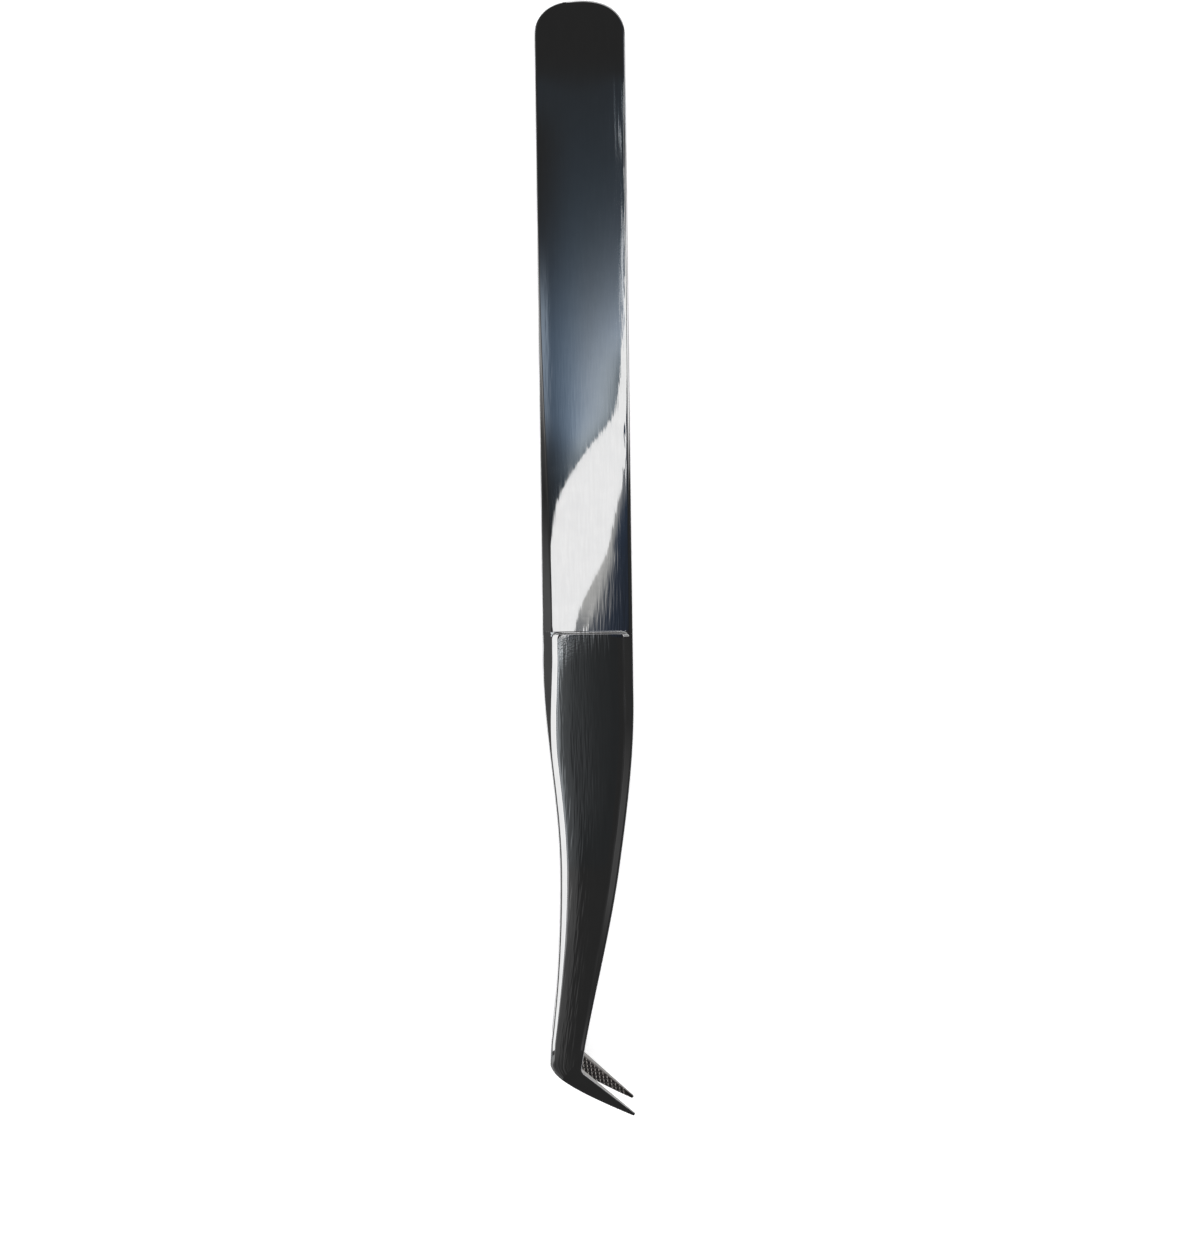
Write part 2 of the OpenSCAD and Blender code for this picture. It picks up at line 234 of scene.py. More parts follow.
# Heights: the arm's outer plane is at 0 and its inner face lies above it
deepShare = math.sqrt(1 - arm.stepHeight / arm.hollowDepth)
deepS = (stepS + deepShare * arm.hollowStart) / (1 + deepShare)
hollowRows = [
    (arm.hollowStart, 0, 0), (deepS, arm.hollowDepth, 0),
    (stepS, arm.stepHeight, -2 * (arm.hollowDepth - arm.stepHeight) / (stepS - deepS)),
]
flankRows = [(neckS, arm.flank, 0), (ankleS, arm.ankleFlank, 0)]
ledgeRows = [
    (neckS, arm.stepHeight, 0), (ankleS, arm.stepHeight * arm.ankleFlank / arm.flank, 0),
    (heelS - arm.heelBefore, 0, 0),
]
innerRows = [(arm.length - arm.innerBendBack, arm.thick, 0), (ankleS, tipZ(ankleS), tipSlope)]
outerRows = [(arm.length - arm.gripBack, 0, 0), (ankleS, tipZ(ankleS) - arm.ankleThick, tipSlope)]


def bootThick(p):
    # the boot thins evenly along the tip, from the ankle's thickness to the point's
    along = (p - corner) @ tipDir
    u = np.clip((along + arm.taperAhead) / (tipLength + arm.taperAhead), 0, 1)
    return arm.ankleThick + (arm.pointThick - arm.ankleThick) * u


def gripZ(p):
    # flat grip, bent in at the neck, then the tip's plane less the boot's thickness
    s = p[..., 1]
    return np.where(s < ankleS, chain(outerRows, s), chain(innerRows, s) - bootThick(p))


def ledgeDepth(s):
    # depth below the grip's plane: the handle's hollow before the step, the ledge beside the grip after it
    return np.where(s < stepS, chain(hollowRows, s), chain(ledgeRows, s))


def bevelWidth(widest, s, w):
    # widest beside the step, plain towards both ends, and never over a share of the width
    grow = ease((s - edge.bevelStart) / (stepS - edge.bevelStart))
    fade = ease((stepS + edge.bevelRun - s) / edge.bevelTaper)
    return np.minimum(edge.bevelPlain + (widest - edge.bevelPlain) * grow * fade, w * edge.bevelShare)


def hatchDepth(p):
    # depth of the nearest groove of either set: full on its line, none at half its width
    depth = np.zeros(p.shape[:-1])
    angle = math.radians(hatchForm["angle"])
    lastGroove = math.floor((tipLength - hatchForm["plainEnd"]) / hatchForm["pitch"])
    for turn in (-angle, angle):
        run = np.array([
            tipDir[0] * math.cos(turn) - tipDir[1] * math.sin(turn),
            tipDir[0] * math.sin(turn) + tipDir[1] * math.cos(turn),
        ])
        side = np.array([-run[1], run[0]])
        spacing = hatchForm["pitch"] * (tipDir @ side)
        across = (p - corner) @ side / spacing
        groove = np.clip(np.round(across), 0, lastGroove)
        start = corner + groove[..., None] * hatchForm["pitch"] * tipDir
        along = np.abs((p - start) @ run)
        away = np.abs(across - groove) * abs(spacing)
        cut = hatchForm["depth"] * np.clip(1 - away / hatchForm["half"], 0, None)
        depth = np.maximum(depth, np.where(along < hatchForm["reach"] / 2, cut, 0))
    return depth


def halfSection(edgeLine, spine, widest):
    # one half of every row: inner face, broken edge, wall, bevel, flank and outer face
    # returns points (rows, columns, 3) as x, s, z, and how near each is to a worn edge
    run = spine - edgeLine
    half = np.linalg.norm(run, axis=1)[:, None]
    unit = run / half
    width = 2 * half
    s = edgeLine[:, 1:2]
    bevel = bevelWidth(widest, s, width)
    cornerU = np.clip((s - stepS) / arm.gripCorner, 0, 1)
    cornerGrow = np.where(s < stepS, 0, arm.gripCorner * (1 - np.sqrt(1 - (1 - cornerU) ** 2)))
    slope = np.minimum(chain(flankRows, s), edge.flankShare * width)
    flank = slope + np.where(s < stepS, arm.gripCorner * ease((s - stepS) / arm.gripCorner + 1), cornerGrow)
    inset = np.minimum(edge.innerBreak, edge.breakShare * width)
    wallCut = np.minimum(edge.wallRound, bevel * edge.cutShare)
    rise = roundRamp((s - stepS) / arm.stepRun, edge.stepFoot, edge.stepHead)

    def plan(e):
        # points at distance e in from the edge
        return edgeLine[:, None, :] + unit[:, None, :] * e[..., None]

    def lift(p, z):
        # plan points with their heights
        return np.concatenate([p, z[..., None]], axis=2)

    def outer(e):
        # grip's plane, plus the hollow and crown off the ramp, the shoulder's drop on it, and the bevel
        p = plan(e)
        ramp = rise * roundRamp((e - bevel - cornerGrow) / slope, edge.flankRound, edge.flankRound)
        inward = np.clip((e - bevel - flank) / np.minimum(arm.shoulder, half / 2), 0, 1)
        shoulder = arm.shoulderDrop * (1 - inward) ** 2 * ledgeDepth(s) / arm.stepHeight * ramp
        sag = arm.crown * ((half - e) * 2 / arm.width) ** 2 * ease(s / arm.hollowStart - 1)
        fall = np.clip(bevel + edge.bevelRound - e, 0, None)
        near = fall ** 2 / (4 * edge.bevelRound)
        drop = edge.bevelRise * np.where(e < bevel - edge.bevelRound, bevel - e, near)
        drop = np.minimum(drop, edge.dropShare * bootThick(p))
        return lift(p, gripZ(p) + (ledgeDepth(p[..., 1]) + sag) * (1 - ramp) + shoulder + drop)

    def inner(e):
        # inner face less the grooves of the hatch
        p = plan(e)
        return lift(p, chain(innerRows, p[..., 1]) - hatchDepth(p))

    shares = SimpleNamespace(
        inner=np.linspace(1, 0, grid.inner), bevel=np.linspace(0, 1, grid.bevel, endpoint=False),
        flank=np.linspace(0, 1, grid.flank, endpoint=False), face=np.linspace(0, 1, grid.face),
    )
    breakCut = np.minimum(edge.breakRound, edge.breakCutShare * inset)
    innerFace = inner(inset + breakCut + (half - inset - breakCut) * shares.inner)
    lip = lift(plan(inset), chain(innerRows, plan(inset)[..., 1]))[:, 0]
    outerE = np.concatenate([
        wallCut + (bevel - wallCut) * shares.bevel, bevel + flank * shares.flank,
        bevel + flank + (half - bevel - flank) * shares.face,
    ], axis=1)
    outerFace = outer(outerE)
    zero = np.zeros_like(half)
    wallTop = outer(zero)[:, 0]
    edgeP = plan(zero)
    breakDrop = np.minimum(inset, edge.dropShare * bootThick(edgeP))
    wallFoot = lift(edgeP, chain(innerRows, edgeP[..., 1]) - breakDrop)[:, 0]
    t = np.linspace(0, 1, grid.arc)

    def rounded(a, b, c):
        # an arc in every row, from a round b to c
        return bow(a[:, None], b[:, None], c[:, None], t[None, :])

    lipArc = rounded(innerFace[:, -1], lip, towards(lip, wallFoot, edge.breakRound))
    footFrom, footTo = (towards(wallFoot, end, edge.breakRound) for end in (lip, wallTop))
    footArc = rounded(footFrom, wallFoot, footTo)
    topArc = rounded(towards(wallTop, wallFoot, edge.wallRound), wallTop, outerFace[:, 0])
    points = np.concatenate([innerFace[:, :-1], lipArc, footArc, topArc[:, :-1], outerFace], axis=1)
    crest = np.exp(-((outerE - bevel - flank) / wearForm["crest"]) ** 2) * np.clip(rise, 0, 1)
    crest = crest * np.clip(ledgeDepth(s) / arm.stepHeight, 0, 1)
    rim = np.exp(-(outerE / wearForm["rim"]) ** 2) * (1 - ease((s - ankleS) / arm.heelBefore))
    wornFace = np.maximum(crest, rim)
    arcs = np.ones((len(s), 3 * grid.arc - 1))
    worn = np.concatenate([np.zeros((len(s), grid.inner - 1)), arcs, wornFace], axis=1)
    return points, worn


def scuffMask(points):
    # deeper brush lines: beside the step, on the grip's left shoulder, at the handle's edges, in its hollow
    x, s = points[..., 0], points[..., 1]
    toStep = np.clip(stepS - s, 0, None)
    inPatch = ease((x - scuffForm["patchX"] - scuffForm["patchLean"] * toStep) / scuffForm["patchRun"])
    beforeStep = scuffForm["handleShare"] * np.exp(-toStep / scuffForm["handle"]) * inPatch
    afterStep = np.exp(-np.clip(s - stepS, 0, None) / scuffForm["grip"])
    leftX = chain(leftRows, s) + edge.bevelLeft + arm.flank
    shoulder = scuffForm["shoulder"] * np.exp(-np.abs(x - leftX) / arm.shoulder)
    atEdge = scuffForm["edge"] * np.exp((np.abs(x) - arm.width / 2) / scuffForm["edgeReach"])
    inHollow = scuffForm["hollow"] * np.exp(-((s - scuffForm["hollowS"]) / scuffForm["hollowReach"]) ** 2)
    onHandle = np.maximum(np.maximum(beforeStep, atEdge), inHollow)
    return np.where(s < stepS, onHandle, np.maximum(afterStep, shoulder))


def pitMask(points):
    # fine pitting that fades away from the grip's first left corner
    x, s = points[..., 0], points[..., 1]
    fromLeft = x - (edge.bevelLeft + arm.flank - arm.width / 2)
    away = np.clip(s - stepS, 0, None) / pitForm["along"] + np.clip(fromLeft, 0, None) / pitForm["across"]
    return np.where((s > stepS) & (fromLeft > -arm.flank / 2), np.exp(-away), 0)


def rubAndSheenMask(points):
    # rubbed lines, lighter and bluish as a painted highlight as well as bare steel, fade in from the handle's
    # right edge, with a share that changes along it
    x, s = points[..., 0], points[..., 1]
    share = np.interp(s, *np.transpose(rubAndSheenForm["rows"]))
    return share * np.exp(-(np.clip(arm.width / 2 - x, 0, None) / rubAndSheenForm["reach"]) ** 2)


def matteMask(points):
    # darker, matt colour on the inner face of the tip and over its broken edge on the right
    column = np.arange(points.shape[1])
    fromEnd = points.shape[1] - column
    covered = (column < grid.inner - 1) | (fromEnd < grid.inner + 2 * grid.arc)
    return covered * ease(((points[..., :2] - corner) @ tipDir + matteForm["ahead"]) / matteForm["run"])


def armGrid():
    # closed rings: left half from the inner middle to the outer middle, then the right half back
    left, right, spine = planStations()
    leftPoints, leftWorn = halfSection(left, spine, edge.bevelLeft)
    rightPoints, rightWorn = halfSection(right, spine, edge.bevelRight)
    points = np.concatenate([leftPoints, rightPoints[:, -2:0:-1]], axis=1)
    worn = np.concatenate([leftWorn, rightWorn[:, -2:0:-1]], axis=1)
    centre = points[-1].mean(axis=0)
    turn = np.linspace(0, math.pi / 2, grid.point + 1)[1:, None, None]
    ahead = np.array([tipDir[0], tipDir[1], tipSlope * tipDir[1]]) * edge.pointRound
    cap = centre + (points[-1] - centre) * np.cos(turn) + ahead * np.sin(turn)
    points = np.concatenate([points, cap])
    worn = np.concatenate([worn, np.repeat(worn[-1:], grid.point, axis=0)])
    return points, worn, leftPoints.shape[1]


def ringDistance(points, middle):
    # u is the distance round each ring from the outer middle, v the distance along the outer middle
    closed = np.concatenate([points, points[:, :1]], axis=1)
    steps = np.linalg.norm(np.diff(closed, axis=1), axis=2)
    around = np.concatenate([np.zeros((len(points), 1)), np.cumsum(steps, axis=1)], axis=1)
    u = around - around[:, middle - 1:middle]
    along = np.linalg.norm(np.diff(points[:, middle - 1], axis=0), axis=1)
    v = np.concatenate([[0], np.cumsum(along)])
    return u, np.repeat(v[:, None], u.shape[1], axis=1)


def quadMesh(name, points, across):
    # quads between neighbouring points of a grid, so many across; also returns their rows and columns
    rows, columns = points.shape[:2]
    i, j = np.meshgrid(np.arange(rows - 1), np.arange(across), indexing="ij")
    here, beside = i * columns + j, i * columns + (j + 1) % columns
    quads = np.stack([here, beside, beside + columns, here + columns], axis=-1)
    mesh = bpy.data.meshes.new(name)
    mesh.from_pydata(points.reshape(-1, 3), [], quads.reshape(-1, 4))
    return mesh, i, j


def pointValues(mesh, name, kind, field, values):
    # one value or colour for every point of a mesh, by name
    made = mesh.attributes.new(name, kind, "POINT")
    made.data.foreach_set(field, values.astype(np.float32).ravel())


mergeDistance = 1e-7  # in metres, for the points of a ring that shrinks to nothing


def gridMesh(name, points, masks, u, v):
    # rings of points closed round the columns, with doubles merged at both ends
    mesh, i, j = quadMesh(name, points * mm, points.shape[1])
    layer = mesh.uv_layers.new(name="brushRun")
    across = np.stack([u[i, j], u[i, j + 1], u[i + 1, j + 1], u[i + 1, j]], axis=-1)
    down = np.stack([v[i, j], v[i, j + 1], v[i + 1, j + 1], v[i + 1, j]], axis=-1)
    layer.uv.foreach_set("vector", np.stack([across, down], axis=-1).astype(np.float32).ravel())
    for label, mask in masks.items():
        pointValues(mesh, label, "FLOAT", "value", mask)
    made = bmesh.new()
    made.from_mesh(mesh)
    bmesh.ops.remove_doubles(made, verts=made.verts, dist=mergeDistance)
    bmesh.ops.recalc_face_normals(made, faces=made.faces)
    made.to_mesh(mesh)
    made.free()
    mesh.shade_smooth()
    piece = bpy.data.objects.new(name, mesh)
    scene.collection.objects.link(piece)
    return piece


def inFrame(points):
    # x, s, z of the lower arm to the frame: the tail end is at tailY and s runs towards -Y
    return np.stack([points[..., 0], tailY - points[..., 1], points[..., 2]], axis=-1)


def mirrored(points):
    # the same point on the other side of the middle plane
    away = (points - midPoint) @ midNormal
    return points - 2 * away[..., None] * midNormal


rings, wornEdge, middleColumn = armGrid()
brushU, brushV = ringDistance(rings, middleColumn)
lowerPoints = inFrame(rings)
masks = {
    "worn": wornEdge, "scuff": scuffMask(rings), "pit": pitMask(rings), "rubAndSheen": rubAndSheenMask(rings),
    "matte": matteMask(rings),
}
lowerArm = gridMesh("lowerArmSteel", lowerPoints, masks, brushU, brushV)
upperArm = gridMesh("upperArmSteel", mirrored(lowerPoints), masks, brushU, brushV)
print("arms made:", len(upperArm.data.polygons), "faces each")

# Each arm's mesh is settled in place, and the frame's own part for that arm is hidden
for piece, node, body in ((upperArm, "upper_arm", "upper"), (lowerArm, "lower_arm", "lower")):
    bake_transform(piece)
    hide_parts(node)


def feed(tree, socket, value):
    # link an input to another socket, or set its value
    if isinstance(value, bpy.types.NodeSocket):
        tree.links.new(value, socket)
    else:
        socket.default_value = value


def addNode(tree, kind, **values):
    # a shader node with its inputs fed by name
    made = tree.nodes.new(kind)
    for name, value in values.items():
        feed(tree, made.inputs[name if name in made.inputs else name.replace("_", " ")], value)
    return made


def maths(tree, operation, *values):
    # a scalar operation on two or three values
    made = tree.nodes.new("ShaderNodeMath")
    made.operation = operation
    for socket, value in zip(made.inputs, values):
        feed(tree, socket, value)
    return made.outputs[0]


def pointMask(tree, name):
    # a mask that the mesh carries under that name
    made = tree.nodes.new("ShaderNodeAttribute")
    made.attribute_name = name
    return made.outputs["Fac"]


def newGroup(name, inputs, outputs):
    # an empty node group with its named sockets
    group = bpy.data.node_groups.new(name, "ShaderNodeTree")
    for label, kind in inputs:
        group.interface.new_socket(name=label, in_out="INPUT", socket_type=kind)
    for label, kind in outputs:
        group.interface.new_socket(name=label, in_out="OUTPUT", socket_type=kind)
    return group, group.nodes.new("NodeGroupInput"), group.nodes.new("NodeGroupOutput")


brushForm = {"wideDetail": 2, "narrowDetail": 1, "rough": 0.6, "narrowTimes": 3.3, "wideShare": 0.2,
             "low": 0.38, "high": 0.62}
toneForm = {"detail": 4, "rough": 0.55, "low": 0.3, "high": 0.7}


def lengthwiseBrushing():
    # fine polishing lines: noise drawn out along y, wide and narrow lines mixed
    group, given, out = newGroup(
        "lengthwiseBrushing",
        [("Vector", "NodeSocketVector"), ("Lines", "NodeSocketFloat"), ("Stretch", "NodeSocketFloat")],
        [("Streak", "NodeSocketFloat"), ("Height", "NodeSocketFloat")],
    )
    scale = addNode(group, "ShaderNodeCombineXYZ", X=1, Y=given.outputs["Stretch"], Z=1)
    spread = group.nodes.new("ShaderNodeVectorMath")
    spread.operation = "MULTIPLY"
    group.links.new(given.outputs["Vector"], spread.inputs[0])
    group.links.new(scale.outputs[0], spread.inputs[1])
    wide = addNode(group, "ShaderNodeTexNoise", Vector=spread.outputs[0], Scale=given.outputs["Lines"],
                   Detail=brushForm["wideDetail"], Roughness=brushForm["rough"])
    narrowLines = maths(group, "MULTIPLY", given.outputs["Lines"], brushForm["narrowTimes"])
    narrow = addNode(group, "ShaderNodeTexNoise", Vector=spread.outputs[0], Scale=narrowLines,
                     Detail=brushForm["narrowDetail"], Roughness=brushForm["rough"])
    both = maths(group, "MULTIPLY", wide.outputs["Fac"], brushForm["wideShare"])
    thin = maths(group, "MULTIPLY", narrow.outputs["Fac"], 1 - brushForm["wideShare"])
    both = maths(group, "ADD", both, thin)
    group.links.new(both, out.inputs["Height"])
    sharp = addNode(group, "ShaderNodeMapRange", Value=both,
                    From_Min=brushForm["low"], From_Max=brushForm["high"])
    group.links.new(sharp.outputs[0], out.inputs["Streak"])
    return group


def handledTone():
    # slow cloudy change of tone where the steel has been handled
    group, given, out = newGroup(
        "handledTone",
        [("Vector", "NodeSocketVector"), ("Size", "NodeSocketFloat")],
        [("Tone", "NodeSocketFloat")],
    )
    cloud = addNode(group, "ShaderNodeTexNoise", Vector=given.outputs["Vector"], Scale=given.outputs["Size"],
                    Detail=toneForm["detail"], Roughness=toneForm["rough"])
    level = addNode(group, "ShaderNodeMapRange", Value=cloud.outputs["Fac"],
                    From_Min=toneForm["low"], From_Max=toneForm["high"])
    group.links.new(level.outputs[0], out.inputs["Tone"])
    return group


brushing = lengthwiseBrushing()
tone = handledTone()


def placeGroup(tree, group, **values):
    # a node group in a material, with its inputs fed by name
    made = tree.nodes.new("ShaderNodeGroup")
    made.node_tree = group
    for name, value in values.items():
        feed(tree, made.inputs[name], value)
    return made


def mixColour(tree, factor, a, b):
    # a mix node lists its sockets once for every type: colours are inputs 6 and 7, and output 2
    made = tree.nodes.new("ShaderNodeMix")
    made.data_type = "RGBA"
    for place, value in ((0, factor), (6, a), (7, b)):
        feed(tree, made.inputs[place], value)
    return made.outputs[2]


def steelMaterial(look):
    # metal whose colour, gloss and fine relief follow the brushing and the handling, and on the arms the wear
    # and the painted highlight of the rubbed lines
    made = bpy.data.materials.new(look["name"])
    made.use_nodes = True
    tree = made.node_tree
    shader = tree.nodes["Principled BSDF"]
    shader.inputs["Metallic"].default_value = 1
    if look["uv"]:
        source = tree.nodes.new("ShaderNodeUVMap")
        source.uv_map = look["uv"]
        run = source.outputs[0]
    else:
        source = tree.nodes.new("ShaderNodeTexCoord")
        inMillimetres = tree.nodes.new("ShaderNodeVectorMath")
        inMillimetres.operation = "SCALE"
        inMillimetres.inputs["Scale"].default_value = 1 / mm
        tree.links.new(source.outputs["Object"], inMillimetres.inputs[0])
        run = inMillimetres.outputs[0]

    def plus(value, mask, amount):
        # value plus mask times amount
        return maths(tree, "ADD", value, maths(tree, "MULTIPLY", mask, amount))

    brushed = placeGroup(tree, brushing, Vector=run, Lines=look["lines"], Stretch=look["stretch"])
    streak, height = brushed.outputs["Streak"], brushed.outputs["Height"]
    cloud = placeGroup(tree, tone, Vector=run, Size=look["cloudSize"]).outputs["Tone"]
    colour = mixColour(tree, streak, look["dark"], look["light"])
    colour = mixColour(tree, maths(tree, "MULTIPLY", cloud, look["cloud"]), colour, look["cloudColour"])
    rough = maths(tree, "MULTIPLY_ADD", streak, look["streakRough"], look["rough"])
    rough = plus(rough, cloud, look["cloudRough"])
    if look["wearAndSheen"]:
        wearAndSheen = look["wearAndSheen"]
        worn, rubAndSheen, matte = (pointMask(tree, name) for name in ("worn", "rubAndSheen", "matte"))
        patchy = maths(tree, "MULTIPLY", worn, streak)
        bare = maths(tree, "MULTIPLY", maths(tree, "ADD", patchy, worn), wearAndSheen["worn"])
        # rubbed lines: bare steel in a lighter, bluish colour that is also a painted highlight of hairlines
        # along the handle's right edge
        hairs = placeGroup(tree, brushing, Vector=run, Lines=wearAndSheen["rubAndSheenLines"], Stretch=wearAndSheen["rubAndSheenStretch"])
        hairs = maths(tree, "POWER", hairs.outputs["Streak"], wearAndSheen["rubAndSheenPower"])
        rubAndSheenHairs = maths(tree, "MULTIPLY", rubAndSheen, hairs)
        for mask, name in ((bare, "worn"), (rubAndSheenHairs, "rubAndSheen"), (matte, "matte")):
            colour = mixColour(tree, mask, colour, wearAndSheen[name + "Colour"])
            rough = plus(rough, mask, wearAndSheen[name + "Rough"])
        deeper = maths(tree, "MULTIPLY_ADD", pointMask(tree, "scuff"), wearAndSheen["scuffed"], 1)
        pits = placeGroup(tree, tone, Vector=run, Size=wearAndSheen["pitSize"]).outputs["Tone"]
        pitDepth = maths(tree, "MULTIPLY", pointMask(tree, "pit"), wearAndSheen["pitted"])
        height = plus(maths(tree, "MULTIPLY", height, deeper), pits, pitDepth)
    tree.links.new(colour, shader.inputs["Base Color"])
    tree.links.new(rough, shader.inputs["Roughness"])
    relief = addNode(tree, "ShaderNodeBump", Height=height, Strength=1, Distance=look["relief"])
    tree.links.new(relief.outputs["Normal"], shader.inputs["Normal"])
    return made


# Wear and painted highlight on the arms: bare edges, rubbed lines whose lighter, bluish colour is also a
# painted highlight along the handle's right edge, darker matt tip faces, and deeper scuffs and pits
armWearAndSheen = {
    "wornColour": (0.314, 0.314, 0.32, 1), "worn": 0.45, "wornRough": 0.15,
    # the rubbed lines' lighter, bluish colour is a painted highlight as well as bare steel
    "rubAndSheenColour": (0.343, 0.371, 0.4, 1), "rubAndSheenRough": 0.4, "rubAndSheenLines": 1, "rubAndSheenStretch": 0.03, "rubAndSheenPower": 2,
    "matteColour": (0.114, 0.106, 0.1, 1), "matteRough": 0.13,
    "scuffed": 24, "pitSize": 3.2, "pitted": 18,
}
# Black coated steel of the arms, plain steel of the wedge, and heat-greyed weld metal
armLook = {
    "name": "blackArmSteel", "uv": "brushRun", "lines": 1.15, "stretch": 0.08,
    "dark": (0.197, 0.197, 0.197, 1), "light": (0.206, 0.206, 0.206, 1),
    "cloud": 0.4, "cloudSize": 0.6, "cloudColour": (0.18, 0.181, 0.183, 1),
    "rough": 0.012, "streakRough": 0.02, "cloudRough": 0.006, "relief": 0.0005 * mm, "wearAndSheen": armWearAndSheen,
}
wedgeLook = {
    "name": "wedgeSteel", "uv": None, "lines": 3, "stretch": 0.05,
    "dark": (0.25, 0.25, 0.26, 1), "light": (0.36, 0.36, 0.37, 1),
    "cloud": 0.4, "cloudSize": 0.2, "cloudColour": (0.2, 0.2, 0.21, 1),
    "rough": 0.22, "streakRough": 0.12, "cloudRough": 0.05, "relief": 0.006 * mm, "wearAndSheen": None,
}
weldLook = {
    "name": "weldSteel", "uv": None, "lines": 4, "stretch": 1,
    "dark": (0.3, 0.28, 0.27, 1), "light": (0.45, 0.44, 0.43, 1),
    "cloud": 0.6, "cloudSize": 0.6, "cloudColour": (0.16, 0.14, 0.13, 1),
    "rough": 0.3, "streakRough": 0.15, "cloudRough": 0.1, "relief": 0.02 * mm, "wearAndSheen": None,
}


def dress(piece, material):
    # one material for the whole piece
    piece.data.materials.clear()
    piece.data.materials.append(material)


armSteel = steelMaterial(armLook)
for piece in (upperArm, lowerArm):
    dress(piece, armSteel)
dress(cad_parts["tail_wedge"], steelMaterial(wedgeLook))
dress(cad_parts["spot_welds"], steelMaterial(weldLook))
print("steel finishes placed")


def overArm(x, s, h):
    # point at height h over the upper arm's outer plane, at x across and s along it
    x, s, h = np.broadcast_arrays(np.asarray(x, float), s, h)
    return mirrored(np.stack([x, tailY - s, -h], axis=-1)) * mm


# Camera square to the upper arm's outer plane, as the photograph was taken
cameraForm = {"aimX": 0.25, "aimS": 67.75, "height": 165, "lens": 43.84, "sensor": 36, "roll": 0.754,
              "nearest": 0.01}
camera = bpy.data.objects.new("camera", bpy.data.cameras.new("camera"))
scene.collection.objects.link(camera)
camera.data.lens = cameraForm["lens"]
camera.data.sensor_width = cameraForm["sensor"]
camera.data.clip_start = cameraForm["nearest"]
planeOrigin = Vector(overArm(0, 0, 0))
planeRight = Vector(overArm(1, 0, 0)) - planeOrigin
planeDown = Vector(overArm(0, 1, 0)) - planeOrigin
roll = math.radians(cameraForm["roll"])
right = (planeRight * math.cos(roll) + planeDown * math.sin(roll)).normalized()
up = (planeRight * math.sin(roll) - planeDown * math.cos(roll)).normalized()
back = right.cross(up)
turned = Matrix((right, up, back)).transposed().to_4x4()
turned.translation = Vector(overArm(cameraForm["aimX"], cameraForm["aimS"], cameraForm["height"]))
camera.matrix_world = turned
scene.camera = camera


studioGain = 1.75  # strength of every card and of the dim studio round them


def lightCard(name, points, glow):
    # a sheet of light on a grid of points, seen in reflections only: one level or a colour per point
    mesh = quadMesh(name, points, points.shape[1] - 1)[0]
    light = bpy.data.materials.new(name)
    light.use_nodes = True
    tree = light.node_tree
    tree.nodes.remove(tree.nodes["Principled BSDF"])
    lamp = tree.nodes.new("ShaderNodeEmission")
    tree.links.new(lamp.outputs[0], tree.nodes["Material Output"].inputs["Surface"])
    if np.ndim(glow):
        colours = np.concatenate([glow, np.ones_like(glow[..., :1])], axis=-1)
        pointValues(mesh, "glow", "FLOAT_COLOR", "color", colours)
        seen = tree.nodes.new("ShaderNodeAttribute")
        seen.attribute_name = "glow"
        tree.links.new(seen.outputs["Color"], lamp.inputs["Color"])
        lamp.inputs["Strength"].default_value = studioGain
    else:
        lamp.inputs["Strength"].default_value = glow * studioGain
    mesh.materials.append(light)
    card = bpy.data.objects.new(name, mesh)
    scene.collection.objects.link(card)
    card.visible_camera = False
    card.visible_shadow = False
    card.visible_diffuse = False


def cardGrid(form):
    # x and s of a grid of points over the form's range
    return np.meshgrid(np.linspace(form["fromX"], form["toX"], form["cells"]),
                       np.linspace(form["fromS"], form["toS"], form["cells"]))


# The window that the handle mirrors: (s, x, slope) of its left and right edges, over the arm's plane
windowForm = {"height": 600, "fromS": -190, "toS": 76, "level": 2.3, "rows": 220}
windowLeft = [
    (-190, 88, 0), (-84, 75, -0.1), (-63, 70, -0.25), (-48, 65.5, -0.6), (-40, 60, -1.6), (-33, 43, -3.4),
    (-20, -6, -3.4), (-11, -34, -2.7), (-3, -52, -1.4), (11, -62, -0.7), (20, -72, -0.5), (60, -85, 0),
    (76, -85, 0),
]
windowRight = [
    (-190, 110, 0), (-110, 110, 0), (-90, 170, 0), (-46, 170, 0), (-38, 80, -3), (-20, 71, -0.5),
    (-11, 65, -0.8), (2, 51, -0.9), (11, 42, -0.9), (16, 36, -1.4), (20, 27, -2.2), (29, 5, -2.3),
    (38, -15, -1.8), (43, -21, -1.2), (52, -31, -1.5), (62, -55, -1.5), (76, -62, 0),
]
windowS = np.linspace(windowForm["fromS"], windowForm["toS"], windowForm["rows"])
windowX = np.stack([chain(windowLeft, windowS), chain(windowRight, windowS)], axis=1)
lightCard("windowCard", overArm(windowX, windowS[:, None], windowForm["height"]), windowForm["level"])


def lit(level, colour):
    # the light of a level over a card, in a colour
    return level[..., None] * np.array(colour)


# The glow round the window. On its left: cold light that fades out up the handle, dimmer and greyer in a fringe
# beside the window, a blue light that fades more slowly, and a glow at the left edge
glowForm = {"height": 606, "fromX": -160, "toX": 160, "fromS": -300, "toS": 75, "cells": 190, "base": 0.052,
            "seam": 2, "colour": (0.88, 1, 1.17), "leftColour": (0.62, 1, 1.56), "leftX": -85, "leftRun": 100}
coldForm = {"level": 2.03, "brightS": -17, "fall": 20.4, "fade": 0.97, "fadeS": 9, "wide": 90, "narrow": 14,
            "run": 50, "lowX": -90, "highX": 60, "least": 1e-6, "cap": 0.9, "capPower": 4}
fringeForm = {"share": 0.8, "reach": 12, "s": -55, "run": 15, "tint": (0.92, 1, 1.04), "tintReach": 38}
slowForm = {"level": 0.11, "fall": 104, "fromX": -85, "run": 80, "tailS": -225, "tailRun": 40,
            "colour": (0.5, 1, 1.55)}
